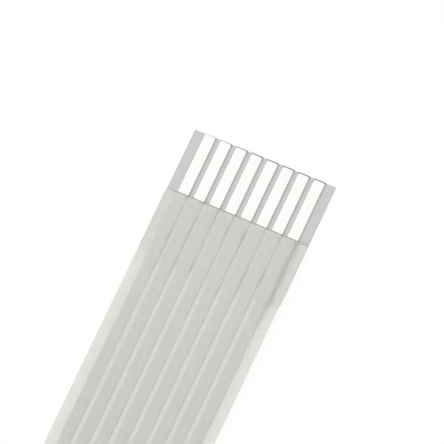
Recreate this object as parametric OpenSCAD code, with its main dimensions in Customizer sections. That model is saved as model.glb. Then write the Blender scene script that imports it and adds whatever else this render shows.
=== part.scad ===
// Flat flex cable with contacts on the same side at both ends.
// The cable lies along Y and is centred on the origin. Its contacts face +Z and its stiffeners rest on z = 0.

/* [Cable] */
// Length from tip to tip
cable_length = 76; // [56:1:300]
// Number of conductors
conductor_count = 8; // [2:1:24]
// Distance from the middle of one conductor to the next
pitch = 1; // [0.95:0.05:2.54]
// Bare film from the outer conductor's edge to the cable's edge
side_margin = 0.65; // [0.3:0.05:2]

/* [Conductors] */
// Width of a rolled conductor
conductor_width = 0.7; // [0.3:0.01:0.75]
// Thickness of a rolled conductor
conductor_thickness = 0.1; // [0.05:0.005:0.15]
// Slope of a conductor halfway down its step to the stiffener, in degrees
step_angle = 30; // [20:1:36]
// Radius of the sheared edge at a contact's tip
tip_roll = 0.04; // [0.01:0.005:0.05]

/* [Films] */
// Thickness of the top film over a conductor
top_film_thickness = 0.06; // [0.04:0.005:0.15]
// Thickness of the bottom film under a conductor
bottom_film_thickness = 0.06; // [0.04:0.005:0.15]
// Depth by which each film sinks between the conductors
film_dip = 0.02; // [0.005:0.005:0.035]
// Radius of the film's curves where it sinks beside a conductor
shoulder_radius = 0.12; // [0.05:0.01:0.2]

/* [Ends] */
// Length of bare conductor at each end
exposed_length = 4.15; // [2.5:0.05:5.5]
// Length of the stiffener under each end
stiffener_length = 8; // [6.5:0.1:15]
// Thickness of each stiffener
stiffener_thickness = 0.2; // [0.1:0.01:0.3]

/* [Hidden] */
conductor_nodes = [for (i = [1:conductor_count]) str("conductor_", i)];
$fn = 48;

// Across the cable
cable_width = (conductor_count - 1) * pitch + conductor_width + 2 * side_margin;
first_x = -(conductor_count - 1) * pitch / 2;

// Along the cable: the tips, and the window where the films stop short of them
tip_y = cable_length / 2;
film_length = cable_length - 2 * exposed_length;
film_y = film_length / 2;

// Heights of a conductor's middle: between the films, and where it lies bare on the stiffener
core_z = stiffener_thickness + bottom_film_thickness + conductor_thickness / 2;
contact_z = stiffener_thickness + conductor_thickness / 2;

// The step from the core down to the stiffener: two equal bends, one after the other
step_height = core_z - contact_z;
bend_radius = step_height / (2 * (1 - cos(step_angle)));
step_length = 2 * bend_radius * sin(step_angle);
contact_length = exposed_length - step_length;

// The film's shoulder beside a conductor: a crest and a hollow of one radius that share a tangent
shoulder_angle = acos(1 - film_dip / (2 * shoulder_radius));
shoulder_run = 2 * shoulder_radius * sin(shoulder_angle);
shoulder_steps = 4;

function conductor_x(i) = first_x + (i - 1) * pitch;

// Height of the film above its sunken level, at a distance past the ridge's flat top
function shoulder_height(run) =
    run < shoulder_run / 2
    ? film_dip - shoulder_radius + sqrt(pow(shoulder_radius, 2) - pow(run, 2))
    : shoulder_radius - sqrt(pow(shoulder_radius, 2) - pow(shoulder_run - run, 2));

// One ridge of film over a conductor, from its left foot to its right foot
function ridge(x, base) =
    let (
        flat = conductor_width / 2 - shoulder_run / 2,
        runs = [for (k = [0:2 * shoulder_steps]) k * shoulder_run / (2 * shoulder_steps)],
        right = [for (run = runs) [x + flat + run, base + shoulder_height(run)]],
        last = len(runs) - 1,
        left = [for (k = [0:last]) [2 * x - right[last - k][0], right[last - k][1]]]
    )
    concat(left, right);

// Half of the laminate, from the meeting plane of the two films up to its ribbed outside
module film_section(thickness) {
    base = conductor_thickness / 2 + thickness - film_dip;
    ridges = [for (i = [1:conductor_count]) each ridge(conductor_x(i), base)];
    half = cable_width / 2;
    difference() {
        polygon(concat([[-half, 0], [-half, base]], ridges, [[half, base], [half, 0]]));
        for (i = [1:conductor_count]) translate([conductor_x(i), 0]) conductor_section();
    }
}

// Flat wire: square copper with the round sides that rolling leaves
module conductor_section() {
    flat = conductor_width - conductor_thickness;
    square([flat, conductor_thickness], center = true);
    for (side = [-1, 1]) translate([side * flat / 2, 0]) circle(d = conductor_thickness);
}

// Stands a section up across the cable and runs it along +Y from the origin
module run_along(length) {
    rotate([-90, 0, 0]) linear_extrude(length) mirror([0, 1]) children();
}

// The flat wire leaves the origin level, towards +Y, and curves down
module bend_down() {
    translate([0, 0, -bend_radius])
        rotate([0, -90, 0])
        rotate_extrude(angle = step_angle)
        translate([bend_radius, 0])
        rotate(90)
        conductor_section();
}

// One end of a conductor: down the step from the film's edge, then flat on the stiffener to the tip
module finger() {
    difference() {
        translate([0, film_y, core_z]) {
            bend_down();
            translate([0, step_length, -step_height]) {
                rotate([180, 0, 0]) bend_down();
                run_along(contact_length + tip_roll) conductor_section();
            }
        }
        shear_cut();
    }
}

// What the shear takes off: all past the tip, and a rounded strip along the tip's upper edge
module shear_cut() {
    side_reach = conductor_width;
    reach = 2 * conductor_thickness;
    translate([-side_reach, tip_y - tip_roll, contact_z + conductor_thickness / 2 - tip_roll])
        rotate([90, 0, 90])
        linear_extrude(2 * side_reach)
        difference() {
            translate([0, -reach]) square([reach, 2 * reach]);
            circle(tip_roll);
            translate([0, -reach]) square([tip_roll, reach]);
        }
}

module conductor(i) {
    color("gainsboro") translate([conductor_x(i), 0, 0]) {
        translate([0, -film_y, core_z]) run_along(film_length) conductor_section();
        finger();
        mirror([0, 1, 0]) finger();
    }
}

module top_film() {
    color("whitesmoke") translate([0, -film_y, core_z]) run_along(film_length) film_section(top_film_thickness);
}

module bottom_film() {
    color("white")
        translate([0, -film_y, core_z])
        mirror([0, 0, 1])
        run_along(film_length)
        film_section(bottom_film_thickness);
}

module stiffener() {
    translate([-cable_width / 2, tip_y - stiffener_length, 0])
        cube([cable_width, stiffener_length, stiffener_thickness]);
}

module stiffener_a() {
    color("lightsteelblue") stiffener();
}

module stiffener_b() {
    color("lightsteelblue") mirror([0, 1, 0]) stiffener();
}

bottom_film();
for (i = [1:conductor_count]) conductor(i);
top_film();
stiffener_a();
stiffener_b();
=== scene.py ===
import math

import bpy
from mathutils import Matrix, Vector, noise


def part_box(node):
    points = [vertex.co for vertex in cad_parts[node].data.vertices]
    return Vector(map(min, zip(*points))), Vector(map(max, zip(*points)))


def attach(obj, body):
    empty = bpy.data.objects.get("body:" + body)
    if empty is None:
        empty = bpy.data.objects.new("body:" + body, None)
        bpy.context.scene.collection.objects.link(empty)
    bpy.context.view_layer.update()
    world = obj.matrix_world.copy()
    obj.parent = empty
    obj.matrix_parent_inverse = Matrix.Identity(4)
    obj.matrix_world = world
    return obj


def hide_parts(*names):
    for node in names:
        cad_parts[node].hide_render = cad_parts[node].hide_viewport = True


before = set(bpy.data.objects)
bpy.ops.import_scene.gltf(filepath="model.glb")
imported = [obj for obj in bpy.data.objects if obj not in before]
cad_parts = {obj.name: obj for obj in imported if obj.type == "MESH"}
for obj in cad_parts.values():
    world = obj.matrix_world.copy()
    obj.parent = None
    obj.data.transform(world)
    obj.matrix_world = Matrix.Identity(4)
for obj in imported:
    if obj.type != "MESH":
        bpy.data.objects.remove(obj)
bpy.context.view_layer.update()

mm = 0.001
white = (1, 1, 1, 1)
noiseLow, noiseHigh = 0.3, 0.7  # most values of a noise texture lie between these
scene = bpy.context.scene
scene.view_settings.view_transform = "Standard"
scene.cycles.transparent_max_bounces = 48  # light crosses both films on its way down and again on its way up
print("frame loaded:", len(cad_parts), "nodes")


def linear(hexText):
    # sRGB hex to the linear colour that the shaders take
    parts = [int(hexText[k:k + 2], 16) / 255 for k in (1, 3, 5)]
    return [p / 12.92 if p <= 0.04045 else ((p + 0.055) / 1.055) ** 2.4 for p in parts] + [1]


def add(tree, kind, settings=None, links=None):
    # one node: settings are its own properties, links are its sockets' values or what feeds them
    node = tree.nodes.new("ShaderNode" + kind)
    for name, value in (settings or {}).items():
        setattr(node, name, value)
    for name, value in (links or {}).items():
        if isinstance(value, bpy.types.NodeSocket):
            tree.links.new(value, node.inputs[name])
        else:
            node.inputs[name].default_value = value
    return node


def calc(tree, operation, first, second=0.0):
    return add(tree, "Math", {"operation": operation}, {0: first, 1: second}).outputs[0]


def ramp(tree, value, start, end, low=0.0, high=1.0):
    # eases from low at start to high at end
    return add(tree, "MapRange", {"interpolation_type": "SMOOTHSTEP"}, {
        "Value": value, "From Min": start, "From Max": end, "To Min": low, "To Max": high,
    }).outputs[0]


def blend(tree, share, first, second):
    return add(tree, "Mix", {"data_type": "RGBA"}, {0: share, 6: first, 7: second}).outputs[2]


def cloud(tree, place, size, detail):
    # soft noise whose blotches are about this size
    return add(tree, "TexNoise", links={"Vector": place, "Scale": 1 / size, "Detail": detail}).outputs["Fac"]


def newMaterial(name):
    material = bpy.data.materials.new(name)
    material.use_nodes = True
    material.node_tree.nodes.clear()
    return material, material.node_tree


# ---- camera and cable run ----
cameraSettings = {
    "target": (-0.684 * mm, 33.28 * mm, 0.3 * mm),
    "azimuth": 23.968,
    "elevation": 68.653,
    "distance": 500 * mm,
    "lens": 694.65,
}


def makeCamera(s):
    azimuth, elevation = math.radians(s["azimuth"]), math.radians(s["elevation"])
    back = Vector((
        math.sin(azimuth) * math.cos(elevation),
        -math.cos(azimuth) * math.cos(elevation),
        math.sin(elevation),
    ))
    data = bpy.data.cameras.new("camera")
    data.sensor_width = 36
    data.lens = s["lens"]
    data.clip_start = 0.01
    data.clip_end = 20
    camera = bpy.data.objects.new("camera", data)
    camera.location = Vector(s["target"]) + back * s["distance"]
    camera.rotation_mode = "QUATERNION"
    camera.rotation_quaternion = (-back).to_track_quat("-Z", "Y")
    scene.collection.objects.link(camera)
    scene.camera = camera


makeCamera(cameraSettings)

topLow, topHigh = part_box("top_film")
bottomLow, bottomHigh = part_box("bottom_film")
conductorNames = sorted(
    (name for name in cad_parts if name.startswith("conductor")),
    key=lambda name: int(name.split("_")[1]),
)
conductorBoxes = [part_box(n) for n in conductorNames]
conductorCentres = [(low.x + high.x) / 2 for low, high in conductorBoxes]
pitch = conductorCentres[1] - conductorCentres[0]
wireWidth = conductorBoxes[0][1].x - conductorBoxes[0][0].x
wireThickness = 2 * (conductorBoxes[0][1].z - topLow.z)
halfWidth = topHigh.x
windowY = topHigh.y  # where the films stop short of the tips
tipY = conductorBoxes[0][1].y
meetZ = topLow.z  # where the two films meet
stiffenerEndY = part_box("stiffener_a")[0].y
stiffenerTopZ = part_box("stiffener_a")[1].z
print("camera set, cable", round(2 * tipY / mm, 1), "mm long and", round(2 * halfWidth / mm, 1), "mm wide")

# ---- films ----
filmSettings = {
    "crown": 0.01 * mm,  # the film is a shallow arch from one gap to the next
    "shoulderDrop": 0.003 * mm,  # and sinks this much more beside a conductor
    "shoulder": 0.8 * mm,  # radius of the curves of that step
    "clearance": 0.002 * mm,  # adhesive left between film and metal
    "ripple": 0.003 * mm,  # unevenness that lamination leaves
    "rippleLength": 3 * mm,
    "rippleStretch": 0.6,  # the ripple is longer along the cable than across it
    "apart": 10 * mm,  # the two films take their ripple from places this far from the middle
    "edgeRound": 0.012 * mm,  # the cut edge is pressed down by the knife
    "edgeRun": 0.05 * mm,
    "creep": 0.03 * mm,  # adhesive creeps this far along the metal at the window
    "wander": 0.02 * mm,  # the window's cut edge wanders this far
    "wanderRate": 1.7,  # per mm across the cable
    "filmSeed": 3.1,  # these two give each film and each end its own edge
    "endSeed": 5,
    "easeBack": 1 * mm,  # the wander dies out this far from the edge
    "crease": 35,  # degrees: sharper edges aren't smoothed
}


def shoulderRun(s):
    return 2 * s["shoulder"] * math.sin(math.acos(1 - s["shoulderDrop"] / (2 * s["shoulder"])))


def filmDrop(x, s, run):
    # how far the outside of the film lies below its crest over a conductor
    away = min(abs(x - c) for c in conductorCentres)
    past = away - (wireWidth / 2 - run / 2)
    radius = s["shoulder"]
    arch = s["crown"] * min(away / (pitch / 2), 1) ** 2
    if past <= 0:
        return arch
    if past >= run:
        return arch + s["shoulderDrop"]
    if past < run / 2:
        return arch + radius - math.sqrt(radius ** 2 - past ** 2)
    return arch + s["shoulderDrop"] - radius + math.sqrt(radius ** 2 - (run - past) ** 2)


def seatHeight(x, s):
    # half height of the seat that holds a conductor
    away = min(abs(x - c) for c in conductorCentres)
    radius = wireThickness / 2 + s["clearance"]
    past = away - (wireWidth - wireThickness) / 2
    if past <= 0:
        return radius
    return math.sqrt(radius ** 2 - past ** 2) if past < radius else 0


def acrossFilm(s, run):
    # sample places across the film, close together where it curves
    radius = wireThickness / 2 + s["clearance"]
    flat = (wireWidth - wireThickness) / 2
    offsets = [0, 0.3 * flat, 0.6 * flat, 0.85 * flat, flat]
    offsets += [flat + radius * math.sin(math.radians(90 * k / 6)) for k in range(1, 7)]
    foot = wireWidth / 2 + run / 2
    offsets += [flat + radius + (foot - flat - radius) * k / 4 for k in range(1, 5)]
    places = {round(c + side * o, 9) for c in conductorCentres for o in offsets for side in (-1, 1)}
    places |= {round(c + pitch / 2, 9) for c in conductorCentres[:-1]}
    outer = conductorCentres[-1] + foot
    rest = halfWidth - outer
    for share in (0.33, 0.66, 0.9, 0.97, 1):
        places |= {round(outer + share * rest, 9), round(-outer - share * rest, 9)}
    return sorted(places)


def alongFilm():
    # sample places along the film, close together at its windows
    steps = [0, 0.015, 0.035, 0.06, 0.1, 0.16, 0.25, 0.38, 0.55, 0.8, 1.1, 1.5, 2]
    last = windowY / mm
    while steps[-1] < last - 0.6:
        steps.append(steps[-1] + min(0.7, last - steps[-1]))
    half = [windowY - step * mm for step in steps]
    return sorted({round(y, 9) for y in half} | {round(-y, 9) for y in half} | {0.0})


def buildFilm(name, node, side, s):
    run = shoulderRun(s)
    columns, rows = acrossFilm(s, run), alongFilm()
    crestZ = topHigh.z if side > 0 else bottomLow.z
    verts, faces, slots = [], [], []
    for y in rows:
        fromEnd = windowY - abs(y)
        atEnd = max(0, 1 - fromEnd / s["edgeRun"])
        for x in columns:
            spot = Vector((x, y * s["rippleStretch"], side * s["apart"]))
            ripple = s["ripple"] * (0.5 + 0.5 * noise.noise(spot / s["rippleLength"]))
            fromSide = max(0, 1 - (halfWidth - abs(x)) / s["edgeRun"])
            sunk = filmDrop(x, s, run) + ripple + s["edgeRound"] * (atEnd ** 2 + fromSide ** 2)
            overMetal = max(0, seatHeight(x, s) / wireThickness * 2)
            cut = Vector((x / mm * s["wanderRate"], side * s["filmSeed"], math.copysign(s["endSeed"], y)))
            wave = s["wander"] * (noise.noise(cut) - 0.5)
            reach = s["creep"] * overMetal * (side > 0) + wave
            y2 = y + math.copysign(reach * max(0, 1 - fromEnd / s["easeBack"]), y)
            verts.append((x, y2, crestZ - side * sunk))
            verts.append((x, y2, meetZ + side * (s["clearance"] / 2 + seatHeight(x, s))))
    wide = len(columns)
    for j in range(len(rows) - 1):
        for i in range(wide - 1):
            a, b = 2 * (j * wide + i), 2 * (j * wide + i + 1)
            c, d = b + 2 * wide, a + 2 * wide
            faces += [(a, b, c, d), (a + 1, d + 1, c + 1, b + 1)]
            slots += [0, 1]
        for i in (0, wide - 1):
            a, d = 2 * (j * wide + i), 2 * ((j + 1) * wide + i)
            faces.append((a, d, d + 1, a + 1) if i == 0 else (a, a + 1, d + 1, d))
            slots.append(2)
    for j in (0, len(rows) - 1):
        for i in range(wide - 1):
            a, b = 2 * (j * wide + i), 2 * (j * wide + i + 1)
            faces.append((a, a + 1, b + 1, b) if j == 0 else (a, b, b + 1, a + 1))
            slots.append(2)
    if side < 0:
        faces = [tuple(reversed(f)) for f in faces]
    mesh = bpy.data.meshes.new(name)
    mesh.from_pydata(verts, [], faces)
    mesh.polygons.foreach_set("material_index", slots)
    mesh.polygons.foreach_set("use_smooth", [True] * len(faces))
    mesh.set_sharp_from_angle(angle=math.radians(s["crease"]))
    mesh.update()
    film = bpy.data.objects.new(name, mesh)
    scene.collection.objects.link(film)
    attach(film, "root")
    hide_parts(node)
    return film


topFilm = buildFilm("topFilm", "top_film", 1, filmSettings)
bottomFilm = buildFilm("bottomFilm", "bottom_film", -1, filmSettings)
print("films built:", len(topFilm.data.polygons), "faces each")

# ---- stiffeners ----
stiffenerSettings = {"edge": 0.02 * mm, "segments": 3}


def dressStiffener(name, s):
    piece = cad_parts[name]
    bevel = piece.modifiers.new("die cut edge", "BEVEL")
    bevel.width = s["edge"]
    bevel.segments = s["segments"]
    bevel.limit_method = "ANGLE"
    return piece


stiffeners = [dressStiffener(name, stiffenerSettings) for name in ("stiffener_a", "stiffener_b")]
print("stiffeners dressed")

# ---- cable length ----
print("cable run declared:", round(2 * windowY / mm, 1), "mm")

# ---- materials ----
def cableAxes(tree):
    # place, X across the cable and the distance from its middle along Y
    place = add(tree, "TexCoord").outputs["Object"]
    axes = add(tree, "SeparateXYZ", links={0: place}).outputs
    return place, axes["X"], calc(tree, "ABSOLUTE", axes["Y"])


def fromNearestWire(tree, across):
    # signed distance across the cable from the middle of the nearest conductor
    turns = calc(tree, "DIVIDE", calc(tree, "SUBTRACT", across, conductorCentres[0]), pitch)
    whole = calc(tree, "MAXIMUM", calc(tree, "ROUND", turns), 0.0)
    nearest = calc(tree, "MINIMUM", whole, len(conductorCentres) - 1.0)
    return calc(tree, "MULTIPLY", calc(tree, "SUBTRACT", turns, nearest), pitch)


metalSettings = {
    "bare": "#fbfcf9",
    "bareLine": "#f9faf6",
    "wetted": "#c4c5c5",
    "wettedLit": "#cbcccb",
    # painted shade on the tips' rolled edges
    "sheared": "#848582",
    "bareRoughness": 0.3,
    "wettedRoughness": 0.45,
    "crown": 0.02 * mm,  # rolling leaves the wire's faces this much higher in the middle
    "rollingLine": 0.06 * mm,  # width of a rolling line, coarser than the real ones
    "rollingStretch": 0.04,  # the lines are 25 times as long as wide
    "rollingBump": 0.15,
    "rollingDepth": 0.002 * mm,
    "wetInside": 0.01 * mm,  # the metal turns bare from this far inside the window's edge
    "wetOutside": 0.03 * mm,  # to this far outside it
    "tipShadeFrom": 0.11 * mm,  # painted shade on the tips' rolled edges starts this far from the tip
    "tipShadeFull": 0.05 * mm,  # and is complete this far from it
    "tipCorner": 0.05 * mm,  # it reaches this much further at a wire's corners
    "cornerPower": 6.0,
    "leastTipShade": 0.2,  # share of it at the -X side; the painted shade deepens towards +X
    "edgeShadowAt": 0.085 * mm,  # the painted shadow line lies this far outside the film's edge
    "edgeShadowShare": 0.8,  # how far it darkens the metal
    "edgeShadowWidth": 0.094 * mm,
    "paintedLightRun": 12 * mm,  # painted light: the wetted metal is painted paler over this length before the stiffener, lighter towards the tip
}


def tinnedRolledCopper(s):
    # tin-plated copper, rolled flat: bright and nearly white where bare, duller where adhesive wets it
    material, tree = newMaterial("tinned copper, rolled flat")
    place, across, along = cableAxes(tree)
    covered = ramp(tree, along, windowY - s["wetInside"], windowY + s["wetOutside"], 1.0, 0.0)
    # painted shade: the rolled-over edges of the tips and their corners are painted dark, deeper towards +X
    fromCentre = calc(tree, "DIVIDE", calc(tree, "ABSOLUTE", fromNearestWire(tree, across)), wireWidth / 2)
    corner = calc(tree, "MULTIPLY", calc(tree, "POWER", fromCentre, s["cornerPower"]), s["tipCorner"])
    reached = calc(tree, "ADD", along, corner)
    sheared = ramp(tree, reached, tipY - s["tipShadeFrom"], tipY - s["tipShadeFull"])
    tipShadeAcross = ramp(tree, across, -halfWidth, 0.0, s["leastTipShade"], 1.0)
    tip = calc(tree, "MULTIPLY", sheared, tipShadeAcross)
    # painted shadow: a thin dark line on the metal along the film's edge, where that edge casts its shadow
    fromEdgeShadow = calc(tree, "ABSOLUTE", calc(tree, "SUBTRACT", along, windowY + s["edgeShadowAt"]))
    line = ramp(tree, fromEdgeShadow, s["edgeShadowWidth"] * 0.25, s["edgeShadowWidth"] * 0.75, s["edgeShadowShare"], 0.0)
    dark = calc(tree, "MAXIMUM", tip, line)
    # rolling leaves lines along the strip
    fine = 1 / s["rollingLine"]
    stretched = add(tree, "Mapping", links={
        "Vector": place, "Scale": (fine, s["rollingStretch"] / s["rollingLine"], fine),
    }).outputs[0]
    lines = cloud(tree, stretched, 1.0, 2.0)
    bare = blend(tree, lines, linear(s["bare"]), linear(s["bareLine"]))
    # painted light: the wetted metal is painted paler towards the tip end, where more light falls
    paintedLight = ramp(tree, along, stiffenerEndY - s["paintedLightRun"], stiffenerEndY)
    wetted = blend(tree, paintedLight, linear(s["wetted"]), linear(s["wettedLit"]))
    body = blend(tree, covered, bare, wetted)
    colour = blend(tree, dark, body, linear(s["sheared"]))
    rough = ramp(tree, covered, 0.0, 1.0, s["bareRoughness"], s["wettedRoughness"])
    arch = calc(tree, "SUBTRACT", 1.0, calc(tree, "POWER", fromCentre, 2.0))
    arched = add(tree, "Bump", links={"Height": arch, "Strength": 1.0, "Distance": s["crown"]}).outputs[0]
    bump = add(tree, "Bump", links={
        "Height": lines, "Strength": s["rollingBump"], "Distance": s["rollingDepth"], "Normal": arched,
    }).outputs[0]
    shader = add(tree, "BsdfPrincipled", links={
        "Base Color": colour, "Metallic": 1.0, "Roughness": rough, "Normal": bump,
    })
    add(tree, "OutputMaterial", links={"Surface": shader.outputs[0]})
    return material


filmLook = {
    "milk": "#f2f2ed",
    "milkOverTape": "#f2f3ee",
    "tapeEase": 0.2 * mm,  # the look over a stiffener sets in over twice this length
    "outerHaze": 0.42,  # share of the light that each face scatters
    "innerHaze": 0.28,
    "rimHaze": 0.6,
    "unevenness": 0.05,  # the haze varies by this share
    "skinBlotch": 2.5 * mm,
    "glueBlotch": 2 * mm,
    "grazingPower": 5.0,
    "roughness": 0.2,
    "ior": 1.57,
    "forward": 0.5,  # share of the scattered light that goes on through
    "between": 1.3,  # the adhesive is this much hazier between the conductors
    "betweenEase": 0.03 * mm,
    "pooled": 1.9,  # and this much where it pools over a stiffener
    "forwardOverTape": 0.25,
    "shadeLineTint": "#dcdddc",  # painted shade: tint of the wavering dark line beside a conductor
    "shadeLineShare": 0.55,  # strength of that tint
    "shadeLineWidth": 0.07 * mm,
    "lastShadeLineWidth": 0.26 * mm,
    "shadeLineWander": 0.14 * mm,
    "wanderLength": 0.45 * mm,
    "patchLength": 1.6 * mm,  # the shade line comes and goes over this length
    "patchFrom": 0.47,
    "patchFull": 0.57,
    "wholeFrom": 0.4 * mm,  # it is unbroken near the window, starting this far from it
    "wholeFull": 0.1 * mm,
    "shadeLineFade": 2.5 * mm,  # it fades in over this length before the stiffener
    "shadeLineFull": 0.3 * mm,  # and is at full strength this far over it
    "gapShade": 0.1,  # strength of the same tint in the gaps away from the stiffener
    "marginEase": 0.1 * mm,
    "creptGlue": 1.1 * mm,  # the stiffener's glue crept out this far at most
    "creptAcross": 0.9 * mm,
    "creptAlong": 6 * mm,
    "creptEase": 0.12 * mm,
    "glueTint": "#eff0f1",
}


def overTape(tree, along, ease):
    return ramp(tree, along, stiffenerEndY - ease, stiffenerEndY + ease)


def paintedShadeLines(tree, s):
    # painted shade: a wavering dark line beside the +X side of each conductor over a stiffener, where the
    # film bridges the step and shade falls
    place, across, along = cableAxes(tree)
    stray = s["shadeLineWander"] / 2
    wander = ramp(tree, cloud(tree, place, s["wanderLength"], 1.0), noiseLow, noiseHigh, -stray, stray)
    strayed = calc(tree, "ADD", across, wander)
    offset = fromNearestWire(tree, calc(tree, "SUBTRACT", strayed, wireWidth / 2))
    width, lastWidth = s["shadeLineWidth"], s["lastShadeLineWidth"]
    near = ramp(tree, calc(tree, "ABSOLUTE", offset), width * 0.25, width, s["shadeLineShare"], 0.0)
    broken = ramp(tree, cloud(tree, place, s["patchLength"], 1.0), s["patchFrom"], s["patchFull"])
    atWindow = ramp(tree, along, windowY - s["wholeFrom"], windowY - s["wholeFull"])
    thread = calc(tree, "MULTIPLY", near, calc(tree, "MAXIMUM", broken, atWindow))
    # the one beside the last conductor is the widest and isn't broken
    lastEdge = conductorCentres[-1] + wireWidth / 2
    fromLast = calc(tree, "ABSOLUTE", calc(tree, "SUBTRACT", strayed, lastEdge))
    last = ramp(tree, fromLast, lastWidth * 0.25, lastWidth, s["shadeLineShare"], 0.0)
    both = calc(tree, "MAXIMUM", thread, last)
    inside = calc(tree, "GREATER_THAN", across, conductorCentres[0])
    fading = ramp(tree, along, stiffenerEndY - s["shadeLineFade"], stiffenerEndY + s["shadeLineFull"])
    return calc(tree, "MULTIPLY", calc(tree, "MULTIPLY", both, inside), fading)


def creptGlue(tree, s):
    # the stiffener's glue was squeezed out past its end, by a length that differs from gap to gap
    place, _, along = cableAxes(tree)
    stretched = add(tree, "Mapping", links={
        "Vector": place, "Scale": (1 / s["creptAcross"], 1 / s["creptAlong"], 0),
    }).outputs[0]
    reach = ramp(tree, cloud(tree, stretched, 1.0, 2.0), noiseLow, noiseHigh, 0.0, s["creptGlue"])
    past = calc(tree, "ADD", calc(tree, "SUBTRACT", along, stiffenerEndY), reach)
    return ramp(tree, past, -s["creptEase"], s["creptEase"])


def unevenHaze(tree, place, size, haze, s):
    return add(tree, "MapRange", links={
        "Value": cloud(tree, place, size, 2.0), "From Min": noiseLow, "From Max": noiseHigh,
        "To Min": haze * (1 - s["unevenness"]), "To Max": haze * (1 + s["unevenness"]),
    }).outputs[0]


def milkyPolyester(name, s, crept=False):
    # calendered polyester: lets most light through, scatters the rest both ways, with a soft even gloss
    material, tree = newMaterial(name)
    place, _, along = cableAxes(tree)
    milk = blend(tree, overTape(tree, along, s["tapeEase"]), linear(s["milk"]), linear(s["milkOverTape"]))
    haze = unevenHaze(tree, place, s["skinBlotch"], s["outerHaze"], s)
    # the share mirrored rises steeply towards grazing, the same from both sides of the skin
    grazing = add(tree, "LayerWeight", links={"Blend": 0.5}).outputs["Facing"]
    alpha = calc(tree, "MAXIMUM", haze, calc(tree, "POWER", grazing, s["grazingPower"]))
    face = add(tree, "BsdfPrincipled", links={
        "Base Color": milk, "Roughness": s["roughness"], "IOR": s["ior"],
    }).outputs[0]
    onward = add(tree, "BsdfTranslucent", links={"Color": milk}).outputs[0]
    scatter = add(tree, "MixShader", links={0: s["forward"], 1: face, 2: onward}).outputs[0]
    tint = blend(tree, creptGlue(tree, s) if crept else 0.0, white, linear(s["glueTint"]))
    clear = add(tree, "BsdfTransparent", links={"Color": tint}).outputs[0]
    both = add(tree, "MixShader", links={0: alpha, 1: clear, 2: scatter}).outputs[0]
    add(tree, "OutputMaterial", links={"Surface": both})
    return material


def milkyAdhesive(name, s, haze):
    # hot-melt adhesive: it scatters light both back and on through, which gives the cable its milky look
    material, tree = newMaterial(name)
    place, across, along = cableAxes(tree)
    fromWire = calc(tree, "ABSOLUTE", fromNearestWire(tree, across))
    between = ramp(tree, fromWire, wireWidth / 2 - s["betweenEase"], wireWidth / 2)
    over = overTape(tree, along, s["tapeEase"])
    thicker = ramp(tree, over, 0.0, 1.0, s["between"], s["pooled"])
    uneven = unevenHaze(tree, place, s["glueBlotch"], haze, s)
    amount = calc(tree, "MULTIPLY", uneven, ramp(tree, between, 0.0, 1.0, 1.0, thicker))
    forward = ramp(tree, calc(tree, "MULTIPLY", between, over), 0.0, 1.0, s["forward"], s["forwardOverTape"])
    # away from the tape the narrow gaps are a little greyer than the wide margins
    lastCentre = conductorCentres[-1]
    fromMiddle = calc(tree, "ABSOLUTE", across)
    narrow = ramp(tree, fromMiddle, lastCentre, lastCentre + s["marginEase"], s["gapShade"], 0.0)
    inGap = calc(tree, "MULTIPLY", between, narrow)
    greyed = calc(tree, "MULTIPLY", inGap, calc(tree, "SUBTRACT", 1.0, over))
    # painted shade: the shade lines and the greyer gaps darken the adhesive here
    shadeLines = calc(tree, "MAXIMUM", paintedShadeLines(tree, s), greyed)
    plain = blend(tree, over, linear(s["milk"]), linear(s["milkOverTape"]))
    milk = blend(tree, shadeLines, plain, linear(s["shadeLineTint"]))
    tint = blend(tree, shadeLines, white, linear(s["shadeLineTint"]))
    back = add(tree, "BsdfDiffuse", links={"Color": milk}).outputs[0]
    onward = add(tree, "BsdfTranslucent", links={"Color": milk}).outputs[0]
    scatter = add(tree, "MixShader", links={0: forward, 1: back, 2: onward}).outputs[0]
    clear = add(tree, "BsdfTransparent", links={"Color": tint}).outputs[0]
    both = add(tree, "MixShader", links={0: amount, 1: clear, 2: scatter}).outputs[0]
    add(tree, "OutputMaterial", links={"Surface": both})
    return material


stiffenerLook = {
    "bare": "#c1c2c2",
    "shade": "#bebfbf",
    "glued": "#eef1f4",
    "gluedMargin": "#e3e7f1",
    "cloudSize": 1.2 * mm,
    "marginEase": 0.1 * mm,
    "glueEase": 0.02 * mm,
    "grainSize": 0.08 * mm,
    "grainBump": 0.2,
    "grainDepth": 0.003 * mm,
    "roughness": 0.45,
    "ior": 1.57,
}


def stiffenerTape(s):
    # polyester tape, extruded and slit: an even, faintly cool grey, whiter where its glue holds the film
    material, tree = newMaterial("polyester stiffener tape, satin")
    place, across, along = cableAxes(tree)
    bare = blend(tree, cloud(tree, place, s["cloudSize"], 3.0), linear(s["bare"]), linear(s["shade"]))
    # the glue lies thinner beyond the outer conductors
    outerEdge = conductorCentres[-1] + wireWidth / 2
    fromMiddle = calc(tree, "ABSOLUTE", across)
    outside = ramp(tree, fromMiddle, outerEdge - s["marginEase"], outerEdge + s["marginEase"])
    glue = blend(tree, outside, linear(s["glued"]), linear(s["gluedMargin"]))
    height = add(tree, "SeparateXYZ", links={0: place}).outputs["Z"]
    onTop = calc(tree, "GREATER_THAN", height, stiffenerTopZ - stiffenerSettings["edge"])
    underFilm = ramp(tree, along, windowY - s["glueEase"], windowY, 1.0, 0.0)
    glued = calc(tree, "MULTIPLY", underFilm, onTop)
    colour = blend(tree, glued, bare, glue)
    grain = cloud(tree, place, s["grainSize"], 2.0)
    bump = add(tree, "Bump", links={
        "Height": grain, "Strength": s["grainBump"], "Distance": s["grainDepth"],
    }).outputs[0]
    shader = add(tree, "BsdfPrincipled", links={
        "Base Color": colour, "Roughness": s["roughness"], "IOR": s["ior"], "Normal": bump,
    })
    add(tree, "OutputMaterial", links={"Surface": shader.outputs[0]})
    return material


def setMaterials(piece, materials):
    piece.data.materials.clear()
    for material in materials:
        piece.data.materials.append(material)


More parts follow.
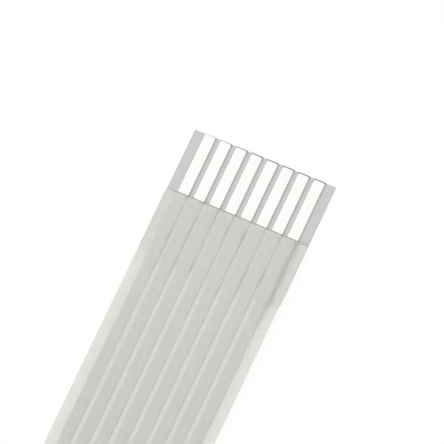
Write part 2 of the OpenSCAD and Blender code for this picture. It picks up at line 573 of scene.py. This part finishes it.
metal = tinnedRolledCopper(metalSettings)
outerSkin = milkyPolyester("polyester film, calendered", filmLook)
underSkin = milkyPolyester("polyester film, calendered, glued to a stiffener", filmLook, crept=True)
adhesiveFace = milkyAdhesive("hot-melt adhesive, laminated", filmLook, filmLook["innerHaze"])
cutEdge = milkyAdhesive("polyester film, knife cut", filmLook, filmLook["rimHaze"])
tape = stiffenerTape(stiffenerLook)
for name in conductorNames:
    setMaterials(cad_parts[name], [metal])
for film, skin in ((topFilm, outerSkin), (bottomFilm, underSkin)):
    slots = [p.material_index for p in film.data.polygons]
    setMaterials(film, [skin, adhesiveFace, cutEdge])
    film.data.polygons.foreach_set("material_index", slots)
for piece in stiffeners:
    setMaterials(piece, [tape])
print("materials set")

# ---- floor and light ----
stageSettings = {
    "floorSize": 4,  # metres
    "floorDepth": 0.01 * mm,  # the floor lies this far under the cable
    "floorColour": "#f4f4f4",
    "floorOwnShare": 0.92,  # share of the floor's white that doesn't take a shadow
    "ambient": 0.82,
    "keyAzimuth": 238,
    "keyElevation": 42,
    "keyDistance": 500 * mm,
    "keySize": 320 * mm,
    "keyPower": 1.18,
    "keyAim": 0.7,  # the lamp looks at this share of the way from the middle to the tip
}


def seenRays(tree):
    # 1 for what the camera sees directly, mirrored or through glass, and 0 for light on the object
    path = add(tree, "LightPath").outputs
    seen = calc(tree, "MAXIMUM", path["Is Camera Ray"], path["Is Glossy Ray"])
    return calc(tree, "MAXIMUM", seen, path["Is Transmission Ray"])


def makeFloor(s):
    # seamless white paper
    half, z = s["floorSize"] / 2, -s["floorDepth"]
    corners = [(-half, -half, z), (half, -half, z), (half, half, z), (-half, half, z)]
    mesh = bpy.data.meshes.new("floor")
    mesh.from_pydata(corners, [], [(0, 1, 2, 3)])
    floor = bpy.data.objects.new("floor", mesh)
    scene.collection.objects.link(floor)
    material, tree = newMaterial("white studio paper")
    share = calc(tree, "MULTIPLY", seenRays(tree), s["floorOwnShare"])
    paper = add(tree, "BsdfDiffuse", links={"Color": linear(s["floorColour"])}).outputs[0]
    glow = add(tree, "Emission", links={"Color": white, "Strength": 1.0}).outputs[0]
    mixed = add(tree, "MixShader", links={0: share, 1: paper, 2: glow}).outputs[0]
    add(tree, "OutputMaterial", links={"Surface": mixed})
    setMaterials(floor, [material])


def makeWorld(s):
    world = bpy.data.worlds.new("studio")
    world.use_nodes = True
    scene.world = world
    tree = world.node_tree
    tree.nodes.clear()
    strength = add(tree, "MapRange", links={
        "Value": seenRays(tree), "To Min": s["ambient"], "To Max": 1.0,
    }).outputs[0]
    light = add(tree, "Background", links={"Color": white, "Strength": strength}).outputs[0]
    add(tree, "OutputWorld", links={"Surface": light})


def makeKeyLamp(s):
    azimuth, elevation = math.radians(s["keyAzimuth"]), math.radians(s["keyElevation"])
    toward = Vector((
        math.sin(azimuth) * math.cos(elevation),
        math.cos(azimuth) * math.cos(elevation),
        math.sin(elevation),
    ))
    data = bpy.data.lights.new("key lamp", "AREA")
    data.shape = "DISK"
    data.size = s["keySize"]
    data.energy = s["keyPower"]
    lamp = bpy.data.objects.new("key lamp", data)
    lamp.location = Vector((0, tipY * s["keyAim"], 0)) + toward * s["keyDistance"]
    lamp.rotation_mode = "QUATERNION"
    lamp.rotation_quaternion = (-toward).to_track_quat("-Z", "Y")
    lamp.visible_camera = False
    scene.collection.objects.link(lamp)


makeFloor(stageSettings)
makeWorld(stageSettings)
makeKeyLamp(stageSettings)
print("floor and lamp set")
